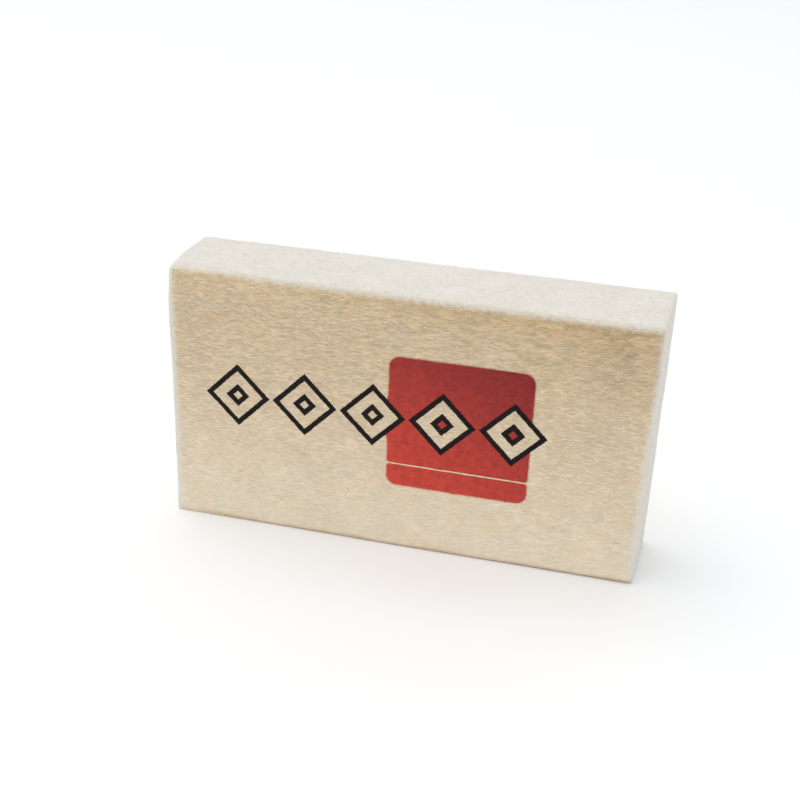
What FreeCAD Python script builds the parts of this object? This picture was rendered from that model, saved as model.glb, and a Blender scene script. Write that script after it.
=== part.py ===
"""Felt hand block for wiping and rubbing down, with a printed pattern on its front face.

One solid block of pressed wool felt stands on a long narrow side. The ink of the print soaks a
little way into the front face, so each patch of ink fills a shallow recess of its own shape and
ends flush with the felt.

Units are millimetres. +X runs along the length, +Y from the printed front to the plain back and
+Z up. The origin is the middle of the face the block stands on.
"""
import FreeCAD, Part
import os

# Block
LENGTH = 100.0
HEIGHT = 57.0
THICKNESS = 19.0
CORNER_R = 1.5  # the four corners, seen from the front
FRONT_EDGE_R = 1.2  # rim of the printed face
BACK_EDGE_R = 0.8  # rim of the plain face

# Ink
INK_DEPTH = 0.2  # how far the ink soaks into the felt
LINE_W = 1.05  # black lines

# Row of hollow diamonds, drawn in black
DIAMONDS = 5
ROW_LEFT = -42.0
ROW_RIGHT = 30.0
ROW_Z = 30.0
DIAMOND_GAP = 0.7  # between the tips of two neighbours
DIAMOND_HALF_H = 7.0
BARE_BAND_W = 2.1  # plain felt between a diamond's two black lines

# Red square behind the diamonds, parted by a line of plain felt
SQUARE_LEFT = -3.0
SQUARE_RIGHT = 27.0
SQUARE_BOTTOM = 14.4
SQUARE_TOP = 44.0
SQUARE_CORNER_R = 2.5
BAND_TOP = 19.4  # the lower patch ends here
PART_LINE_W = 0.35

DIAMOND_HALF_W = ((ROW_RIGHT - ROW_LEFT) - (DIAMONDS - 1) * DIAMOND_GAP) / DIAMONDS / 2
DIAMOND_PITCH = 2 * DIAMOND_HALF_W + DIAMOND_GAP
FRONT_Y = -THICKNESS / 2
BACK_Y = THICKNESS / 2
TOLERANCE = 1e-4


def prism(points):
    """Solid of the ink's depth behind an outline, given as (x, z) points on the front face."""
    corners = [FreeCAD.Vector(x, FRONT_Y, z) for x, z in points]
    face = Part.Face(Part.makePolygon(corners + corners[:1]))
    return face.extrude(FreeCAD.Vector(0, INK_DEPTH, 0))


def rectangle(left, right, bottom, top):
    return prism([(left, bottom), (right, bottom), (right, top), (left, top)])


def diamond(centre_x, inset):
    """Diamond of the row whose four sides lie `inset` inside those of the full diamond."""
    side = (DIAMOND_HALF_W**2 + DIAMOND_HALF_H**2) ** 0.5
    scale = 1 - inset * side / (DIAMOND_HALF_W * DIAMOND_HALF_H)
    half_w = DIAMOND_HALF_W * scale
    half_h = DIAMOND_HALF_H * scale
    return prism(
        [
            (centre_x - half_w, ROW_Z),
            (centre_x, ROW_Z - half_h),
            (centre_x + half_w, ROW_Z),
            (centre_x, ROW_Z + half_h),
        ]
    )


def diamond_line(centre_x, inset):
    """Closed black line whose outer edge lies `inset` inside the full diamond."""
    return diamond(centre_x, inset).cut(diamond(centre_x, inset + LINE_W))


def diamond_centres():
    first = ROW_LEFT + DIAMOND_HALF_W
    return [first + i * DIAMOND_PITCH for i in range(DIAMONDS)]


def red_patches():
    """The two large patches, and the small ones that show inside the inner lines."""
    square = rectangle(SQUARE_LEFT, SQUARE_RIGHT, SQUARE_BOTTOM, SQUARE_TOP)
    square = square.makeFillet(SQUARE_CORNER_R, edges_through(square, INK_DEPTH))
    centres = diamond_centres()
    above = rectangle(SQUARE_LEFT, SQUARE_RIGHT, BAND_TOP + PART_LINE_W, SQUARE_TOP)
    panel = square.common(above)
    for x in centres:
        panel = panel.cut(diamond(x, 0))
    below = rectangle(SQUARE_LEFT, SQUARE_RIGHT, SQUARE_BOTTOM, BAND_TOP)
    band = square.common(below)
    inner = LINE_W + BARE_BAND_W + LINE_W
    hearts = [diamond(x, inner) for x in centres if SQUARE_LEFT < x < SQUARE_RIGHT]
    return {"red_panel": panel, "red_band": band, "red_centres": Part.makeCompound(hearts)}


def black_lines():
    lines = {}
    for number, x in enumerate(diamond_centres(), start=1):
        lines["outer_line_%d" % number] = diamond_line(x, 0)
        lines["inner_line_%d" % number] = diamond_line(x, LINE_W + BARE_BAND_W)
    return lines


def rim(solid, y):
    """Edges round the face that lies in the plane at y."""
    edges = []
    for edge in solid.Edges:
        box = edge.BoundBox
        if abs(box.YMin - y) < TOLERANCE and abs(box.YMax - y) < TOLERANCE:
            edges.append(edge)
    return edges


def edges_through(solid, depth):
    """Edges that run along Y through a solid's whole depth."""
    return [edge for edge in solid.Edges if edge.BoundBox.YLength > depth - TOLERANCE]


def felt_block(ink):
    """The block, its softened edges, and the recesses that the ink fills."""
    block = Part.makeBox(LENGTH, THICKNESS, HEIGHT, FreeCAD.Vector(-LENGTH / 2, FRONT_Y, 0))
    block = block.makeFillet(CORNER_R, edges_through(block, THICKNESS))
    block = block.makeFillet(FRONT_EDGE_R, rim(block, FRONT_Y))
    block = block.makeFillet(BACK_EDGE_R, rim(block, BACK_Y))
    return block.cut(ink)


def build():
    ink = {**red_patches(), **black_lines()}
    return {"felt_block": felt_block(list(ink.values())), **ink}


os.makedirs("parts", exist_ok=True)
for name, shape in build().items():
    shape.exportStep("parts/" + name + ".step")
    facts = (name, len(shape.Solids), shape.isValid(), shape.Volume)
    print("%-14s solids %d  valid %s  volume %.2f mm3" % facts)
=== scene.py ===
"""Looks of the felt hand block: matted wool with loose fibres, and ink soaked into its front.

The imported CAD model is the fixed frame. The block and each patch of ink are rebuilt here as
relief meshes of the same size in the same place. The printed face looks along -Y and the block
stands on Z = 0. Lengths are in metres and colours are linear, unless a comment says otherwise.
"""
import itertools
import math

import bpy
import numpy as np
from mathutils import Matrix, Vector
from mathutils.geometry import delaunay_2d_cdt


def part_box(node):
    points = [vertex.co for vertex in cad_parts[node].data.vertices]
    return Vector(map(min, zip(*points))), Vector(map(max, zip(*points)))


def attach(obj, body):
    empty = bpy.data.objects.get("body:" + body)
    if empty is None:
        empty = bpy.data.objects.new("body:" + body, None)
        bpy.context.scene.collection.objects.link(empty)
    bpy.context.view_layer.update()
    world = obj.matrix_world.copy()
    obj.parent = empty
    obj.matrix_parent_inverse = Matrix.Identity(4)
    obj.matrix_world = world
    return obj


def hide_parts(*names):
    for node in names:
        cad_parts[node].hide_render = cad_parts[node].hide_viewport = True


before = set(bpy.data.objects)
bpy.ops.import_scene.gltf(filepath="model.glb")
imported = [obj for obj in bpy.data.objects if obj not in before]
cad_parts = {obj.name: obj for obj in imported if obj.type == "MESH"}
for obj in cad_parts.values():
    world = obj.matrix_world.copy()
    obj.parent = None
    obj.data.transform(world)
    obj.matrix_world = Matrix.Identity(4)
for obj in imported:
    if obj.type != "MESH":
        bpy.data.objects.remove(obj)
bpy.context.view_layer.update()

MM = 0.001
TINY = 1e-9  # guards against divisions by zero and against draws of exactly 1
RNG = np.random.default_rng(823)

# Large odd numbers that scramble a place along X, Y and Z and a seed
MIXERS = (374761393, 668265263, 1440662683, 1274126177)

# Block, from the CAD frame
BLOCK_LOW, BLOCK_HIGH = (np.array(corner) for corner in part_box("felt_block"))
LENGTH, _, HEIGHT = BLOCK_HIGH - BLOCK_LOW
FRONT_Y, BACK_Y = BLOCK_LOW[1], BLOCK_HIGH[1]

# Felt surface
FRONT_EDGE_R = 1.1 * MM
BACK_EDGE_R = 0.5 * MM
FOOT_EDGE_R = 0.4 * MM
FOOT_EDGE_RISE = 8 * MM  # up to here the foot's edge radius changes into the others
EDGE_R_SWING = 0.15 * MM
WORN_CORNER = np.array([BLOCK_LOW[0], FRONT_Y, BLOCK_HIGH[2]])  # rounder than the others
WORN_CORNER_R = 1.2 * MM  # what wear adds to the edge radius there
WORN_CORNER_REACH = 9 * MM
GRID = np.array([0.5, 0.63, 0.3]) * MM  # mesh cells along X, Y and Z

# How far each corner of the hand-cut block is off square, in mm: left/right, front/back, low/high
CORNER_SHIFTS = {
    (0, 0, 1): (-0.6, -0.4, 0.0),
    (1, 0, 1): (-0.1, -0.1, -0.1),
    (1, 0, 0): (-0.4, 0.1, 0.2),
    (0, 1, 1): (0.2, 0.1, 0.1),
    (1, 1, 1): (0.7, 0.1, 0.3),
    (1, 1, 0): (0.4, -0.9, 0.0),
}

# Colours of the felt
PALE_BOUNCE_LIT = (0.825, 0.720, 0.563, 1)  # pressed faces at the foot, lighter than at the top as painted floor-bounce light
TAN = (0.645, 0.506, 0.337, 1)  # pressed faces at the top
SHADED_GOLDEN = (0.515, 0.375, 0.218, 1)  # pressed faces at the top right, more saturated and darkened there as painted shade
TOP_RIM_TINT = (1.06, 1.035, 0.95, 1)  # a warmer, more saturated and slightly lighter tint along the top rim of the pressed faces
WARM = (1.0, 0.955, 0.87, 1)  # a tint in patches of the pressed faces
CUT = (0.758, 0.712, 0.640, 1)
FRAYED = (0.755, 0.704, 0.615, 1)  # pressed faces where their skin has gone
SPECK = (0.30, 0.21, 0.13, 1)
# an orange-brown band along the foot of the pressed faces
FOOT_BAND = (0.56, 0.36, 0.20, 1)
BARE_FLECK = (0.80, 0.62, 0.46, 1)  # felt that shows through the ink

# Ink
INK_EDGE_STEP = 0.2 * MM
INK_STEP = 0.35 * MM
INK_ROOT = 0.12 * MM  # how deep the skin of ink reaches into the felt
FULL_INK = 1 * MM  # a depth at which the ink is at its full strength
PROBES = 24  # places round a point of an outline that are searched for bare felt
PROBE_R = 0.6 * MM
OPEN_SHARE = 0.35  # of those places that are bare where the outline borders open felt
NEAR = 0.01 * MM  # how near a CAD vertex has to be to the front face to lie in it

# Each ink: its colours high up and low down, where the darker high one is painted shade and the
# lighter low one painted light, its colour on loose fibres, how wide it fades out where it borders
# bare felt, how far it stands out, and its fibres' number per square mm and lengths
INKS = {
    "red": {
        "high": (0.235, 0.030, 0.031, 1),
        "low": (0.60, 0.071, 0.050, 1),
        "fibre": (0.42, 0.052, 0.042),
        "fade": 0.45 * MM,
        "lift": 0.035 * MM,
        "density": 0.9,
        "lengths": (0.7 * MM, 2.2 * MM),
    },
    "black": {
        "high": (0.014, 0.011, 0.012, 1),
        "low": (0.017, 0.013, 0.013, 1),
        "fibre": (0.016, 0.012, 0.012),
        "fade": 0.0,
        "lift": 0.05 * MM,
        "density": 3.0,
        "lengths": (0.4 * MM, 1.3 * MM),
    },
}

# Loose fibres. Those of ink turn and wave more than those of the felt.
FIBRE_POINTS = 6
FIBRE_LEAN = -2  # degrees, down towards the right
FIBRE_DRIFT = 10  # degrees that whole stretches of fibres turn by
FELT_TURN, INK_TURN = 11, 22  # degrees that single fibres turn by
FELT_WAVE, INK_WAVE = 0.03, 0.05  # of a fibre's length
STRAY_SHARE = 0.04  # fibres that lie at any angle
FRONT_FIBRES = 17000
BACK_FIBRES = 9000
FELT_LENGTHS = (0.9 * MM, 2.9 * MM)
FRINGE = 0.9 * MM  # how wide the rim is where loose fibres are all white
OVER_INK_SHARE = 0.002  # loose fibres that lie across the ink
FOOT_GAP = 0.2 * MM  # lying fibres stay this far above the floor
TUBE_SIDES = 3
HAIRS = 8000
HAIR_SHARES = (0.5, 0.3, 0.2)  # hairs on the top, on the ends, and on the pressed faces' top rims
# Name: base colour, and the share of fibres that have it at the foot and at the top; the paler mix at
# the foot follows the pressed faces' painted floor-bounce light
FIBRE_TINTS = {
    "tan_fibres": ((0.60, 0.46, 0.29), (0.00, 0.22)),
    "straw_fibres": ((0.74, 0.60, 0.41), (0.02, 0.36)),
    "cream_fibres": ((0.86, 0.765, 0.595), (0.78, 0.32)),
    "white_fibres": ((0.92, 0.87, 0.77), (0.20, 0.10)),
}

# Stage
FLOOR_HALF = 4.0
LAMP_COLOUR = (1.0, 0.99, 0.97)
SKY_COLOUR = (0.95, 0.975, 1.0, 1)
SKY_STRENGTH = 0.80
CAMERA_PLACE = (0.0560, -0.2453, 0.1486)
CAMERA_TURN = (64.72, -2.15, 14.53)  # degrees about X, Y and Z
CAMERA_LENS = 59.8  # mm
CAMERA_SENSOR = 36.0  # mm

# ---------------------------------------------------------------- noise


def hashed(cells, seed):
    """A repeatable value from 0 to 1 for each whole-numbered place."""
    i, j, k = cells.T
    mixed = i * MIXERS[0] + j * MIXERS[1] + k * MIXERS[2] + seed * MIXERS[3]
    mixed = (mixed ^ (mixed >> 13)) * MIXERS[3] & 0xFFFFFFFF
    return ((mixed ^ (mixed >> 16)) & 0xFFFF) / 0xFFFF


def corner_weight(shares, corner):
    """How much one corner of a box counts for points inside, from their shares of its sides."""
    weight = 1
    for axis, high in enumerate(corner):
        weight = weight * (shares[:, axis] if high else 1 - shares[:, axis])
    return weight


def noise(points, cell, seed):
    """Smooth noise from -1 to 1, with cells of the given size along X, Y and Z."""
    scaled = points / np.asarray(cell)
    cells = np.floor(scaled).astype(np.int64)
    shares = scaled - cells
    shares = shares * shares * (3 - 2 * shares)
    total = 0
    for corner in itertools.product((0, 1), repeat=3):
        total = total + corner_weight(shares, corner) * hashed(cells + corner, seed)
    return 2 * total - 1


def streaks(points, tilt, cell, seed):
    """Noise drawn out along a line in the XZ plane that is tilted by an angle in degrees."""
    c, s = math.cos(math.radians(tilt)), math.sin(math.radians(tilt))
    x, y, z = points.T
    turned = np.stack([x * c + z * s, y, z * c - x * s], axis=1)
    return noise(turned, cell, seed)


def smoothstep(low, high, value):
    t = np.clip((value - low) / (high - low), 0, 1)
    return t * t * (3 - 2 * t)


# ---------------------------------------------------------------- felt surface


def edge_radius(points):
    """Radius of the block's edges near each point."""
    upper = np.interp(points[:, 1], (FRONT_Y, BACK_Y), (FRONT_EDGE_R, BACK_EDGE_R))
    rise = smoothstep(0, FOOT_EDGE_RISE, points[:, 2])
    swing = EDGE_R_SWING * noise(points, [9 * MM] * 3, seed=1)
    wear = 1 - np.linalg.norm(points - WORN_CORNER, axis=1) / WORN_CORNER_REACH
    even = FOOT_EDGE_R + (upper - FOOT_EDGE_R) * rise
    return even + swing + WORN_CORNER_R * smoothstep(0, 1, wear)


def relief(points, normals):
    """Height of the felt above the rounded block: long matted tufts on the faces, less on cuts."""
    face = smoothstep(0.5, 0.95, np.abs(normals[:, 1]))
    tufts = np.maximum(
        streaks(points, 11, [2.6 * MM, 9 * MM, 0.75 * MM], seed=2),
        streaks(points, -14, [2.2 * MM, 9 * MM, 0.65 * MM], seed=3),
    )
    swell = noise(points, [14 * MM, 14 * MM, 11 * MM], seed=4)
    lumps = noise(points, [3.0 * MM] * 3, seed=5)
    grain = noise(points, [1.3 * MM] * 3, seed=6)
    height = np.clip((points[:, 2] - BLOCK_LOW[2]) / HEIGHT, 0, 1)
    on_face = (0.014 + 0.036 * height) * tufts + 0.12 * swell
    on_cut = 0.05 * lumps + 0.10 * swell + 0.02 * grain
    return (face * on_face + (1 - face) * on_cut) * MM


def out_of_square(points):
    """Carries points on the square block to the slightly skewed one."""
    shares = (points - BLOCK_LOW) / (BLOCK_HIGH - BLOCK_LOW)
    moved = points.copy()
    for corner, shift in CORNER_SHIFTS.items():
        moved += corner_weight(shares, corner)[:, None] * np.array(shift) * MM
    return moved


def fold_over(points):
    """Brings points that run past an edge of their face round onto the next face."""
    folded = points.copy()
    for axis in (0, 2):
        for bound, side in ((BLOCK_LOW[axis], -1), (BLOCK_HIGH[axis], 1)):
            past = np.maximum((folded[:, axis] - bound) * side, 0)
            inward = np.where(folded[:, 1] < 0, 1, -1)
            folded[:, 1] += past * inward
            folded[:, axis] -= past * side
    return folded


def rounded(points):
    """Carries points of the sharp-edged block onto its rounded edges, with the way out there."""
    radius = edge_radius(points)[:, None]
    inner = np.clip(points, BLOCK_LOW + radius, BLOCK_HIGH - radius)
    normals = points - inner
    normals /= np.maximum(np.linalg.norm(normals, axis=1, keepdims=True), TINY)
    return inner + normals * radius, normals


def onto_felt(points, lift=0.0):
    """Lays points of the sharp-edged block on the felt's surface, at a height above it."""
    surface, normals = rounded(points)
    height = (relief(points, normals) + lift)[:, None]
    placed = out_of_square(surface + normals * height)
    placed[:, 2] = np.maximum(placed[:, 2], 0)
    return placed


# ---------------------------------------------------------------- meshes


def mesh_object(name, vertices, faces, material, **measures):
    """An object from arrays of vertices and of faces, with named numbers or vectors per vertex."""
    corners = faces.shape[1]
    mesh = bpy.data.meshes.new(name)
    mesh.vertices.add(len(vertices))
    mesh.vertices.foreach_set("co", vertices.astype(np.float32).ravel())
    mesh.loops.add(faces.size)
    mesh.loops.foreach_set("vertex_index", faces.astype(np.int32).ravel())
    mesh.polygons.add(len(faces))
    mesh.polygons.foreach_set("loop_start", np.arange(0, faces.size, corners, dtype=np.int32))
    mesh.polygons.foreach_set("use_smooth", np.full(len(faces), True))
    mesh.update(calc_edges=True)
    mesh.validate()
    for measure, values in measures.items():
        kind, field = ("FLOAT", "value") if values.ndim == 1 else ("FLOAT_VECTOR", "vector")
        mesh.attributes.new(measure, kind, "POINT").data.foreach_set(field, values.ravel())
    mesh.materials.append(material)
    piece = bpy.data.objects.new(name, mesh)
    bpy.context.scene.collection.objects.link(piece)
    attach(piece, "root")
    return piece


def block_lattice():
    """Points and quads of a closed box, as fine as GRID, on the sharp-edged block."""
    cells = np.round((BLOCK_HIGH - BLOCK_LOW) / GRID).astype(int)
    places, quads = [], []
    start = 0
    for axis in range(3):
        u, v = [other for other in range(3) if other != axis]
        for side in (0, 1):
            i, j = np.meshgrid(np.arange(cells[u] + 1), np.arange(cells[v] + 1), indexing="ij")
            spot = np.zeros(i.shape + (3,), int)
            spot[..., u], spot[..., v], spot[..., axis] = i, j, side * cells[axis]
            index = start + np.arange(i.size).reshape(i.shape)
            ring = [index[:-1, :-1], index[1:, :-1], index[1:, 1:], index[:-1, 1:]]
            outward = (side == 1) == (axis != 1)
            quads.append(np.stack(ring if outward else ring[::-1], axis=-1).reshape(-1, 4))
            places.append(spot.reshape(-1, 3))
            start += i.size
    unique, back = np.unique(np.concatenate(places), axis=0, return_inverse=True)
    points = BLOCK_LOW + unique / cells * (BLOCK_HIGH - BLOCK_LOW)
    return points, back.ravel()[np.concatenate(quads)]


# ---------------------------------------------------------------- ink outlines


def front_loops(node):
    """Closed outlines of a patch on the front face, as arrays of (x, z), from its CAD node."""
    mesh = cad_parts[node].data
    spots = [tuple(round(c, 6) for c in vertex.co) for vertex in mesh.vertices]
    sides = {}  # a dict and not a set, so that their order is the same each run
    for face in mesh.polygons:
        corners = [spots[i] for i in face.vertices]
        if all(abs(y - FRONT_Y) < NEAR for _, y, _ in corners):
            for start, end in zip(corners, corners[1:] + corners[:1]):
                sides[start, end] = True
    onward = {start: end for start, end in sides if (end, start) not in sides}
    loops = []
    while onward:
        first, point = onward.popitem()
        loop = [first]
        while point != first:
            loop.append(point)
            point = onward.pop(point)
        loops.append(np.array(loop)[:, (0, 2)])
    return loops


def within(loops, x, z):
    """True for each point that lies inside the outlines, by the even-odd rule."""
    crossings = np.zeros(np.shape(x), int)
    for loop in loops:
        for (x0, z0), (x1, z1) in zip(loop, np.roll(loop, -1, axis=0)):
            if z0 != z1:
                level = (z0 > z) != (z1 > z)
                crossings += level & (x < x0 + (z - z0) * (x1 - x0) / (z1 - z0))
    return crossings % 2 == 1


PATCHES = {node: front_loops(node) for node in sorted(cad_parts) if node != "felt_block"}


def patch_at(points):
    """Which patch of ink each point of the front face is in: 0 for none, else 1 and up."""
    label = np.zeros(len(points), int)
    for number, loops in enumerate(PATCHES.values(), start=1):
        label[within(loops, points[:, 0], points[:, 2])] = number
    return label


def in_plane(flat, y):
    """Points in space from (x, z) points, at one place along Y."""
    return np.insert(flat, 1, y, axis=1)


def feathered(flat):
    """Shifts (x, z) points a little, so that edges of ink follow the fibres."""
    points = in_plane(flat, 0.0)
    fine, broad = [0.45 * MM, 1, 0.22 * MM], [1.6 * MM, 1, 0.9 * MM]
    shift_x = 0.07 * noise(points, fine, seed=21) + 0.04 * noise(points, broad, seed=22)
    shift_z = 0.035 * noise(points, fine, seed=23) + 0.03 * noise(points, broad, seed=24)
    return flat + np.stack([shift_x, shift_z], axis=1) * MM


def evenly(loop, step):
    """Puts points along each side of a closed outline."""
    dense = []
    for start, end in zip(loop, np.roll(loop, -1, axis=0)):
        count = max(1, round(np.linalg.norm(end - start) / step))
        dense.append(start + (end - start) * np.arange(count)[:, None] / count)
    return np.concatenate(dense)


def open_edge(flat):
    """Which points of an outline have open felt, and not just a thin gap or more ink, beside them."""
    bare = 0
    for angle in np.linspace(0, 2 * np.pi, PROBES, endpoint=False):
        aside = flat + PROBE_R * np.array([math.cos(angle), math.sin(angle)])
        bare = bare + (patch_at(in_plane(aside, FRONT_Y)) == 0)
    return bare >= OPEN_SHARE * PROBES


def gaps(points, others):
    """Distance from each point to the nearest of the others, as far as FULL_INK."""
    return np.array([np.linalg.norm(others - p, axis=1).min(initial=FULL_INK) for p in points])


def filling(loops, edge):
    """Scattered (x, z) points inside outlines, and not too close to the points of their edge."""
    low, high = edge.min(axis=0), edge.max(axis=0)
    grid_x, grid_z = np.meshgrid(*(np.arange(a, b, INK_STEP) for a, b in zip(low, high)))
    grid = np.stack([grid_x.ravel(), grid_z.ravel()], axis=1)
    grid += RNG.uniform(-0.25, 0.25, grid.shape) * INK_STEP
    grid = grid[within(loops, grid[:, 0], grid[:, 1])]
    return grid[gaps(grid, edge) > 0.5 * INK_STEP]


def triangulated(outlines, inner):
    """(x, z) points and triangles that fill closed outlines, with more points inside them."""
    sides, start = [], 0
    for outline in outlines:
        around = np.arange(len(outline))
        sides += (start + np.stack([around, np.roll(around, -1)], axis=1)).tolist()
        start += len(outline)
    points = [Vector(p / MM) for p in np.concatenate(outlines + [inner])]
    made = delaunay_2d_cdt(points, sides, [], 1, 1e-4)
    flat = np.array([tuple(p) for p in made[0]]) * MM
    faces = np.array([face for face in made[2] if len(face) == 3])
    middles = flat[faces].mean(axis=1)
    return flat, faces[within(outlines, middles[:, 0], middles[:, 1])]


def shell_faces(flat, faces):
    """A closed skin's faces: a top that looks along -Y, the same below it, and walls between."""
    (x0, z0), (x1, z1), (x2, z2) = (flat[faces[:, i]].T for i in range(3))
    inward = (x1 - x0) * (z2 - z0) - (x2 - x0) * (z1 - z0) < 0
    faces[inward] = faces[inward][:, ::-1]
    pairs = np.concatenate([faces[:, (0, 1)], faces[:, (1, 2)], faces[:, (2, 0)]])
    known = {tuple(pair) for pair in pairs.tolist()}
    rim = np.array([pair for pair in known if pair[::-1] not in known])
    rim = rim[np.lexsort(rim.T)]
    start, end = rim.T
    below = len(flat)
    walls = np.concatenate([
        np.stack([end, start, start + below], axis=1),
        np.stack([end, start + below, end + below], axis=1),
    ])
    return np.concatenate([faces, faces[:, ::-1] + below, walls])


def ink_skin(node, lift):
    """A thin closed skin of ink over a patch, and how deep in the ink each of its points lies."""
    outlines = [evenly(loop, INK_EDGE_STEP) for loop in PATCHES[node]]
    edge = np.concatenate(outlines)
    flat, faces = triangulated(outlines, filling(PATCHES[node], edge))
    depth = gaps(flat, edge[open_edge(edge)])
    flat = feathered(flat)
    sharp = in_plane(flat, FRONT_Y)
    vertices = np.concatenate([onto_felt(sharp, lift), onto_felt(sharp, -INK_ROOT)])
    return vertices, shell_faces(flat, faces), np.tile(depth, 2)


# ---------------------------------------------------------------- loose fibres


def tubes(lines, radii):
    """Closed tubes, pointed at both ends, along n lines of m points: an array of shape (n, m, 3)."""
    n, m = lines.shape[:2]
    along = np.gradient(lines, axis=1)
    along /= np.maximum(np.linalg.norm(along, axis=2, keepdims=True), TINY)
    across = np.cross(along, np.array([0.31, 0.52, 0.79]))
    across /= np.maximum(np.linalg.norm(across, axis=2, keepdims=True), TINY)
    third = np.cross(along, across)
    share = np.sin(np.pi * np.arange(m) / (m - 1))[1:-1] ** 0.4
    thick = (radii[:, None] * share)[:, :, None, None]
    angles = 2 * np.pi * np.arange(TUBE_SIDES) / TUBE_SIDES
    ring = (np.cos(angles)[:, None] * across[:, 1:-1, None, :]
            + np.sin(angles)[:, None] * third[:, 1:-1, None, :])
    rings = (lines[:, 1:-1, None, :] + thick * ring).reshape(n, TUBE_SIDES * (m - 2), 3)
    vertices = np.concatenate([rings, lines[:, :1], lines[:, -1:]], axis=1)
    each = vertices.shape[1]
    first_tip, last_tip, last_ring = each - 2, each - 1, TUBE_SIDES * (m - 3)
    faces = []
    for side in range(TUBE_SIDES):
        beside = (side + 1) % TUBE_SIDES
        faces.append((first_tip, beside, side))
        faces.append((last_tip, last_ring + side, last_ring + beside))
        for here in range(0, last_ring, TUBE_SIDES):
            there = here + TUBE_SIDES
            faces.append((here + side, here + beside, there + beside))
            faces.append((here + side, there + beside, there + side))
    faces = np.array(faces)[None] + each * np.arange(n)[:, None, None]
    return vertices.reshape(-1, 3), faces.reshape(-1, 3)


def lying_lines(count, y, low, high, lengths, turn, wave):
    """Wavy lines, flat in the front or back face at y, with their middles in an XZ box."""
    middle = RNG.uniform(low, high, (count, 2))
    stray = RNG.random(count) < STRAY_SHARE
    any_way = RNG.uniform(-90, 90, count)
    angle = np.radians(np.where(stray, any_way, RNG.normal(FIBRE_LEAN, turn, count)))
    drift = noise(in_plane(middle, 0.0), [11 * MM, 1, 6 * MM], seed=31)
    angle += np.radians(FIBRE_DRIFT) * drift
    length = RNG.uniform(*lengths, count)[:, None]
    t = np.linspace(-0.5, 0.5, FIBRE_POINTS)[None, :]
    phase = RNG.uniform(0, 2 * np.pi, (count, 1))
    bend = RNG.normal(0, 0.06, (count, 1)) * length * (4 * t * t - 0.3)
    off = wave * length * np.sin(2 * np.pi * t * 1.3 + phase) + bend
    along = t * length
    c, s = np.cos(angle)[:, None], np.sin(angle)[:, None]
    x = middle[:, :1] + along * c - off * s
    z = middle[:, 1:] + along * s + off * c
    return np.stack([x, np.full_like(x, y), z], axis=2)


def arch(count, heights, sink):
    """Lift of each fibre along its length: over the felt in the middle, into it at both ends."""
    t = np.linspace(-0.5, 0.5, FIBRE_POINTS)[None, :]
    top = RNG.uniform(*heights, (count, 1))
    return (top + sink) * np.cos(np.pi * t) ** 0.7 - sink


def inside_block(lines):
    """Lines that don't run under the foot, and don't pass two edges at once."""
    past = np.maximum(np.abs(lines[:, :, 0]) - BLOCK_HIGH[0], 0).max(axis=1)
    over = np.maximum(lines[:, :, 2] - BLOCK_HIGH[2], 0).max(axis=1)
    return (lines[:, :, 2].min(axis=1) > FOOT_GAP) & ((past == 0) | (over == 0))


def laid(lines, lift):
    """Lines laid on the felt, round its edges too, at a height for each of their points."""
    return onto_felt(fold_over(lines.reshape(-1, 3)), lift.ravel()).reshape(lines.shape)


def fibres_by_tint():
    """The fibres that lie on the pressed faces, as {name: [(lines, radii), ...]}."""
    sets = {name: [] for name in FIBRE_TINTS}
    low, high = BLOCK_LOW[[0, 2]], BLOCK_HIGH[[0, 2]]
    for y, count in ((FRONT_Y, FRONT_FIBRES), (BACK_Y, BACK_FIBRES)):
        lines = lying_lines(count, y, low, high, FELT_LENGTHS, FELT_TURN, FELT_WAVE)
        keep = inside_block(lines)
        if y == FRONT_Y:
            labels = patch_at(lines.reshape(-1, 3)).reshape(lines.shape[:2])
            keep &= (labels == 0).all(axis=1) | (RNG.random(count) < OVER_INK_SHARE)
        lines = lines[keep]
        radii = RNG.uniform(0.018, 0.05, len(lines)) * MM
        height = (lines[:, :, 2].mean(axis=1) - BLOCK_LOW[2]) / HEIGHT
        lift = arch(len(lines), (-0.01 * MM, 0.03 * MM), 0.04 * MM)
        placed = laid(lines, lift - 0.02 * MM * (1 - height[:, None]))
        in_top_fringe = lines[:, :, 2].max(axis=1) > BLOCK_HIGH[2] - FRINGE
        in_end_fringe = np.abs(lines[:, :, 0]).max(axis=1) > BLOCK_HIGH[0] - FRINGE
        # A draw of 1 picks the last tint, which is white
        draw = np.where(in_top_fringe | in_end_fringe, 1.0, RNG.random(len(lines))) - TINY
        # Paler fibre tints towards the foot carry the painted floor-bounce light
        shares = [np.interp(height, (0, 1), share) for _, share in FIBRE_TINTS.values()]
        pick = (draw[None] > np.cumsum(np.stack(shares), axis=0)).sum(axis=0)
        for number, name in enumerate(FIBRE_TINTS):
            sets[name].append((placed[pick == number], radii[pick == number]))
    return sets


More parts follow.
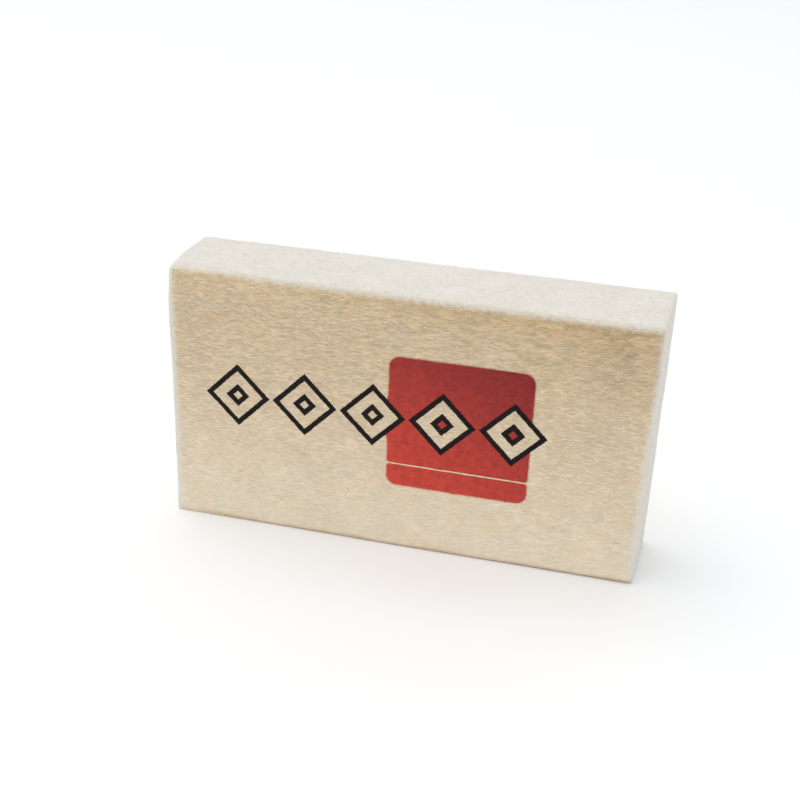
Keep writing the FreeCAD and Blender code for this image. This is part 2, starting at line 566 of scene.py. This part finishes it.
def hair_lines(count):
    """Short hairs that stand off the edges and the cut faces, on the real surface."""
    low, high = BLOCK_LOW, BLOCK_HIGH
    spots = RNG.uniform(low, high, (count, 3))
    face = RNG.choice(3, count, p=HAIR_SHARES)
    on_top, on_end, on_rim = face == 0, face == 1, face == 2
    flip = RNG.random(count) < 0.5
    spots[on_top, 2] = high[2]
    spots[on_end, 0] = np.where(flip, low[0], high[0])[on_end]
    spots[on_rim, 1] = np.where(flip, low[1], high[1])[on_rim]
    spots[on_rim, 2] = high[2] - np.abs(RNG.normal(0, 1.2 * MM, on_rim.sum()))
    inner = np.clip(spots, low + FRONT_EDGE_R, high - FRONT_EDGE_R)
    out = spots - inner
    out /= np.linalg.norm(out, axis=1, keepdims=True)
    lean = RNG.normal(0, 1, (count, 3)) * (1.6, 0.8, 0.8)
    lean -= (lean * out).sum(axis=1, keepdims=True) * out
    lean /= np.linalg.norm(lean, axis=1, keepdims=True)
    rise = RNG.uniform(0.05, 0.45, (count, 1)) ** 1.7  # how steeply each leaves the felt
    length = RNG.uniform(0.4, 1.3, (count, 1)) * MM
    curl = np.cross(out, lean) * RNG.normal(0, 0.3, (count, 1))
    t = np.linspace(0, 1, FIBRE_POINTS)[None, :, None]
    foot = onto_felt(spots, -0.05 * MM)[:, None, :]
    sideways = (lean * length)[:, None, :] * t + (curl * length)[:, None, :] * t * t
    upward = (out * length * rise)[:, None, :] * np.sin(np.pi * 0.75 * t) * 1.2
    lines = foot + sideways + upward
    lines[:, :, 2] = np.maximum(lines[:, :, 2], 0.05 * MM)
    return lines[spots[:, 2] > 1.5 * MM]


# ---------------------------------------------------------------- materials


class Nodes:
    """Short forms for building a material's node tree."""

    def __init__(self, name):
        self.material = bpy.data.materials.new(name)
        self.material.use_nodes = True
        self.tree = self.material.node_tree
        self.shader = self.tree.nodes["Principled BSDF"]
        self.place = self.add("ShaderNodeTexCoord").outputs["Object"]

    def add(self, kind, **inputs):
        node = self.tree.nodes.new(kind)
        for name, value in inputs.items():
            self.feed(node.inputs[name.replace("_", " ")], value)
        return node

    def feed(self, socket, value):
        if isinstance(value, bpy.types.NodeSocket):
            self.tree.links.new(value, socket)
        else:
            socket.default_value = value

    def shade(self, **inputs):
        for name, value in inputs.items():
            self.feed(self.shader.inputs[name.replace("_", " ")], value)

    def maths(self, operation, a, b=0.0):
        node = self.tree.nodes.new("ShaderNodeMath")
        node.operation = operation
        self.feed(node.inputs[0], a)
        self.feed(node.inputs[1], b)
        return node.outputs[0]

    def plus(self, a, b, times):
        """a + b * times"""
        return self.maths("ADD", a, self.maths("MULTIPLY", b, times))

    def mix(self, share, a, b, blend="MIX"):
        node = self.tree.nodes.new("ShaderNodeMix")
        node.data_type, node.blend_type = "RGBA", blend
        self.feed(node.inputs["Factor"], share)
        self.feed(node.inputs["A"], a)
        self.feed(node.inputs["B"], b)
        return node.outputs["Result"]

    def ramp(self, value, low, high, to_low=0.0, to_high=1.0):
        """A smooth step from one value to another."""
        node = self.tree.nodes.new("ShaderNodeMapRange")
        node.interpolation_type = "SMOOTHSTEP"
        for name, number in zip(("Value", "From Min", "From Max", "To Min", "To Max"),
                                (value, low, high, to_low, to_high)):
            self.feed(node.inputs[name], number)
        return node.outputs[0]

    def varied(self, colour, pattern, low, high, darkest, lightest):
        """The colour times a factor that steps from darkest to lightest along a pattern."""
        factor = self.ramp(pattern, low, high, darkest, lightest)
        return self.mix(1.0, colour, factor, "MULTIPLY")

    def tinted(self, colour, tint, share):
        """The colour, multiplied by a tint to some share."""
        return self.mix(share, colour, self.mix(1.0, colour, tint, "MULTIPLY"))

    def axis(self, name):
        return self.add("ShaderNodeSeparateXYZ", Vector=self.place).outputs[name]

    def measure(self, name, output="Fac"):
        """What mesh_object stored under a name for each vertex."""
        node = self.tree.nodes.new("ShaderNodeAttribute")
        node.attribute_name = name
        return node.outputs[output]

    def speckle(self, size, detail=2.0, roughness=0.5, tilt=0.0, stretch=(1, 1, 1), warp=0.0):
        """Noise whose features are about `size` across, longer by `stretch` along each axis."""
        mapping = self.add("ShaderNodeMapping", Vector=self.place)
        mapping.vector_type = "TEXTURE"
        mapping.inputs["Rotation"].default_value = (0, math.radians(-tilt), 0)
        mapping.inputs["Scale"].default_value = stretch
        noise_node = self.add("ShaderNodeTexNoise", Vector=mapping.outputs[0], Scale=1 / size,
                              Detail=detail, Roughness=roughness, Distortion=warp)
        return noise_node.outputs["Fac"]


def fibre_pattern(nodes):
    """Matted fibres lying mostly along X: three layers that cross at shallow angles."""
    layers = [
        nodes.speckle(0.34 * MM, roughness=0.55, tilt=tilt, stretch=(6, 1, 1), warp=warp)
        for tilt, warp in ((3, 0.2), (-11, 0.3), (17, 0.2))
    ]
    top = nodes.maths("MAXIMUM", layers[0], layers[1])
    return nodes.maths("MAXIMUM", top, layers[2])


def pressed_colour(nodes, fibres):
    """The pressed faces: golden tan and streaky at the top, paler and more even at the foot. The
    paler foot is painted floor-bounce light, the darker top right is painted shade, and the stronger
    streaks at the top are painted shading of the relief.
    """
    z = nodes.axis("Z")
    height = nodes.ramp(z, -8 * MM, 47 * MM)
    slope = nodes.plus(z, nodes.axis("X"), 0.25)
    # Paler at the foot, tan at the top: the lighter foot is painted floor-bounce light
    colour = nodes.mix(height, PALE_BOUNCE_LIT, TAN)
    # Darker and more golden towards the top right: painted shade
    colour = nodes.mix(nodes.ramp(slope, 46 * MM, 69 * MM), colour, SHADED_GOLDEN)
    # Warmer and more saturated along the top rim
    colour = nodes.tinted(colour, TOP_RIM_TINT, nodes.ramp(z, 50 * MM, 56 * MM))
    patches = nodes.speckle(3.5 * MM, stretch=(1.6, 1, 1))
    colour = nodes.tinted(colour, WARM, nodes.ramp(patches, 0.35, 0.7, 0.0, 0.5))
    # The fibre streaks are the felt's own tint; their stronger contrast towards the top is painted
    # shading of the relief under light raking from above
    darkest = nodes.ramp(height, 0.0, 1.0, 0.92, 0.84)
    lightest = nodes.ramp(height, 0.0, 1.0, 1.10, 1.24)
    colour = nodes.varied(colour, fibres, 0.44, 0.76, darkest, lightest)
    clumps = nodes.speckle(1.3 * MM, tilt=4, stretch=(2.6, 1, 1), warp=0.4)
    darkest = nodes.ramp(slope, 44 * MM, 64 * MM, 0.985, 0.87)
    lightest = nodes.ramp(slope, 44 * MM, 64 * MM, 1.015, 1.11)
    colour = nodes.varied(colour, clumps, 0.36, 0.64, darkest, lightest)
    return nodes.varied(colour, nodes.speckle(6 * MM, detail=3), 0.3, 0.7, 0.965, 1.03)


def rim_distance(nodes, x, z):
    """How far a point of a pressed face lies inside the rim of the face's skin.

    The skin falls short of the top edge towards the right, and reaches on past the right edge
    higher up.
    """
    lost = nodes.ramp(x, -47 * MM, -15 * MM, -0.35 * MM, 0.3 * MM)
    from_top = nodes.maths("SUBTRACT", nodes.maths("SUBTRACT", HEIGHT, z), lost)
    from_left = nodes.maths("ADD", x, LENGTH / 2 - 0.35 * MM)
    gained = nodes.ramp(z, 22 * MM, 50 * MM, 0.0, 0.55 * MM)
    from_right = nodes.maths("SUBTRACT", nodes.maths("ADD", gained, LENGTH / 2), x)
    from_end = nodes.maths("MINIMUM", from_left, from_right)
    from_foot = nodes.maths("MULTIPLY", z, 3.0)
    return nodes.maths("MINIMUM", nodes.maths("MINIMUM", from_top, from_end), from_foot)


def skin_share(nodes, inside, on_face, fibres):
    """1 inside the two pressed faces and 0 on the cut ones, with a frayed border between."""
    patches = nodes.speckle(0.8 * MM, detail=3, roughness=0.65, stretch=(1.5, 1, 1))
    border = nodes.plus(inside, nodes.maths("SUBTRACT", patches, 0.5), 1.9 * MM)
    border = nodes.plus(border, nodes.maths("SUBTRACT", fibres, 0.6), 2.5 * MM)
    return nodes.maths("MULTIPLY", on_face, nodes.ramp(border, 0.1 * MM, 1.6 * MM))


def felt_material():
    """Felt with a pressed tan skin on its front and back, and pale where it is cut."""
    nodes = Nodes("wool_felt")
    fibres = fibre_pattern(nodes)
    matted = nodes.speckle(0.45 * MM, detail=3, roughness=0.6, stretch=(2.2, 1, 1))
    square = nodes.measure("square", "Vector")
    x, y, z = nodes.add("ShaderNodeSeparateXYZ", Vector=square).outputs
    on_face = nodes.ramp(nodes.maths("ABSOLUTE", y), BACK_Y - 1.0 * MM, BACK_Y - 0.25 * MM)
    skin = skin_share(nodes, rim_distance(nodes, x, z), on_face, fibres)

    clouds = nodes.speckle(5 * MM, detail=4, roughness=0.6)
    colour = nodes.varied(CUT, clouds, 0.3, 0.7, 0.965, 1.025)
    colour = nodes.varied(colour, matted, 0.3, 0.7, 0.96, 1.035)
    colour = nodes.mix(on_face, colour, FRAYED)
    colour = nodes.mix(skin, colour, pressed_colour(nodes, fibres))
    specks = nodes.ramp(nodes.speckle(0.9 * MM, detail=0), 0.88, 0.89, 0.0, 0.7)
    colour = nodes.mix(nodes.maths("MULTIPLY", specks, skin), colour, SPECK)
    # An orange-brown band along the foot, uneven in height and fainter at the left end
    patches = nodes.speckle(3 * MM, detail=3, roughness=0.6, stretch=(4, 1, 1))
    rise = nodes.plus(nodes.axis("Z"), patches, 1.6 * MM)
    strength = nodes.ramp(x, -49 * MM, -36 * MM, 0.15, 0.8)
    foot_band_share = nodes.ramp(rise, 0.9 * MM, 2.1 * MM, strength, 0.0)
    colour = nodes.mix(nodes.maths("MULTIPLY", foot_band_share, on_face), colour, FOOT_BAND)

    depth = nodes.ramp(nodes.axis("Z"), 0.0, HEIGHT, 0.04 * MM, 0.10 * MM)
    depth = nodes.maths("MAXIMUM", depth, nodes.ramp(on_face, 0.0, 1.0, 0.05 * MM, 0.0))
    bumps = nodes.mix(skin, matted, fibres)
    bump = nodes.add("ShaderNodeBump", Strength=0.8, Distance=depth, Height=bumps)
    nodes.shade(Base_Color=colour, Normal=bump.outputs[0], Roughness=0.92,
                Sheen_Weight=0.2, Sheen_Roughness=0.5, Specular_IOR_Level=0.15)
    return nodes.material


def ink_material(name, ink):
    """Ink soaked into the fibres: darker towards the top right as painted shade, lighter towards the
    lower left as painted light, with a few bare flecks.
    """
    nodes = Nodes(name)
    fibres = fibre_pattern(nodes)
    slope = nodes.plus(nodes.axis("Z"), nodes.axis("X"), 0.5)
    # Dark high colour at the top right, light low colour at the lower left: painted shade and painted
    # light
    colour = nodes.mix(nodes.ramp(slope, 12 * MM, 62 * MM), ink["low"], ink["high"])
    colour = nodes.varied(colour, fibres, 0.42, 0.78, 0.91, 1.09)
    blotches = nodes.speckle(1.6 * MM, detail=3, roughness=0.6)
    colour = nodes.varied(colour, blotches, 0.3, 0.7, 0.90, 1.10)
    flecks = nodes.speckle(0.45 * MM, detail=1, tilt=20, stretch=(3, 1, 1))
    colour = nodes.mix(nodes.ramp(flecks, 0.79, 0.85, 0.0, 0.5), colour, BARE_FLECK)
    if ink["fade"]:
        uneven = nodes.maths("SUBTRACT", fibres, 0.55)
        depth = nodes.plus(nodes.measure("depth"), uneven, 0.5 * ink["fade"])
        soaked = nodes.ramp(depth, 0.0, ink["fade"])
        colour = nodes.mix(soaked, pressed_colour(nodes, fibres), colour)
    bump = nodes.add("ShaderNodeBump", Strength=0.5, Distance=0.05 * MM, Height=fibres)
    nodes.shade(Base_Color=colour, Normal=bump.outputs[0], Roughness=0.85, Specular_IOR_Level=0.08)
    return nodes.material


def fibre_material(name, colour):
    nodes = Nodes(name)
    nodes.shade(Base_Color=(*colour, 1), Roughness=0.85, Specular_IOR_Level=0.2, Sheen_Weight=0.2)
    return nodes.material


# ---------------------------------------------------------------- build


def felt_body():
    """The block of felt, whose points also carry their places before relief and skew."""
    points, quads = block_lattice()
    square, _ = rounded(points)
    body = mesh_object("felt_body", onto_felt(points), quads, felt_material(), square=square)
    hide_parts("felt_block")


def ink_fibres(loops, ink):
    """Fibres with ink on them, laid on a patch, whose tips may reach over its edge."""
    edge = np.concatenate(loops)
    low, high = edge.min(axis=0), edge.max(axis=0)
    count = int(ink["density"] * np.prod((high - low) / MM))
    lines = lying_lines(count, FRONT_Y, low, high, ink["lengths"], INK_TURN, INK_WAVE)
    lines = lines[within(loops, lines[:, 1:-1, 0], lines[:, 1:-1, 2]).all(axis=1)]
    return laid(lines, arch(len(lines), (0.03 * MM, 0.07 * MM), 0.03 * MM))


def print_on_front():
    """The ink: a skin for each patch, and one piece for the fibres of each colour."""
    materials = {kind: ink_material(kind + "_ink", ink) for kind, ink in INKS.items()}
    for kind, ink in INKS.items():
        strands = []
        for node, loops in PATCHES.items():
            if node.startswith("red") != (kind == "red"):
                continue
            vertices, faces, depth = ink_skin(node, ink["lift"])
            piece = mesh_object("ink_" + node, vertices, faces, materials[kind], depth=depth)
            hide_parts(node)
            strands.append(ink_fibres(loops, ink))
        lines = np.concatenate(strands)
        vertices, faces = tubes(lines, RNG.uniform(0.02, 0.045, len(lines)) * MM)
        name = kind + "_fibres"
        piece = mesh_object(name, vertices, faces, fibre_material(name, ink["fibre"]))


def loose_fibres():
    """Fibres of the felt itself: one piece for each tint, and the hairs shared between two."""
    sets = fibres_by_tint()
    hairs = hair_lines(HAIRS)
    half = len(hairs) // 2
    for name, lines in (("white_fibres", hairs[:half]), ("cream_fibres", hairs[half:])):
        sets[name].append((lines, RNG.uniform(0.010, 0.020, len(lines)) * MM))
    for name, groups in sets.items():
        lines, radii = (np.concatenate(parts) for parts in zip(*groups))
        vertices, faces = tubes(lines, radii)
        piece = mesh_object(name, vertices, faces, fibre_material(name, FIBRE_TINTS[name][0]))


# ---------------------------------------------------------------- stage


def floor():
    nodes = Nodes("floor")
    tone = nodes.ramp(nodes.speckle(0.3), 0.3, 0.7, 0.955, 0.965)
    nodes.shade(Base_Color=tone, Roughness=0.8)
    corners = [(x * FLOOR_HALF, y * FLOOR_HALF, 0) for x, y in ((-1, -1), (1, -1), (1, 1), (-1, 1))]
    mesh = bpy.data.meshes.new("floor")
    mesh.from_pydata(corners, [], [(0, 1, 2, 3)])
    mesh.materials.append(nodes.material)
    piece = bpy.data.objects.new("floor", mesh)
    bpy.context.scene.collection.objects.link(piece)


def softbox(name, place, target, size, power):
    """A round lamp that shines at a target; its power is in watts."""
    light = bpy.data.lights.new(name, "AREA")
    light.shape, light.size, light.energy, light.color = "DISK", size, power, LAMP_COLOUR
    lamp = bpy.data.objects.new(name, light)
    lamp.location = place
    lamp.rotation_euler = (Vector(target) - Vector(place)).to_track_quat("-Z", "Y").to_euler()
    bpy.context.scene.collection.objects.link(lamp)


def lights():
    world = bpy.data.worlds.new("studio")
    world.use_nodes = True
    background = world.node_tree.nodes["Background"]
    background.inputs["Color"].default_value = SKY_COLOUR
    background.inputs["Strength"].default_value = SKY_STRENGTH
    bpy.context.scene.world = world
    softbox("overhead", place=(-0.50, 0.05, 1.83), target=(0, 0, 0), size=1.8, power=13.2)
    softbox("front_fill", place=(0.20, -1.00, 0.40), target=(0, 0, 0.02), size=0.6, power=0.5)
    bpy.context.scene.view_settings.view_transform = "Standard"


def camera():
    data = bpy.data.cameras.new("camera")
    data.lens = CAMERA_LENS
    data.sensor_width = CAMERA_SENSOR
    data.clip_start = 0.01
    eye = bpy.data.objects.new("camera", data)
    eye.location = CAMERA_PLACE
    eye.rotation_euler = tuple(math.radians(angle) for angle in CAMERA_TURN)
    bpy.context.scene.collection.objects.link(eye)
    bpy.context.scene.camera = eye


felt_body()
print_on_front()
loose_fibres()
floor()
lights()
camera()
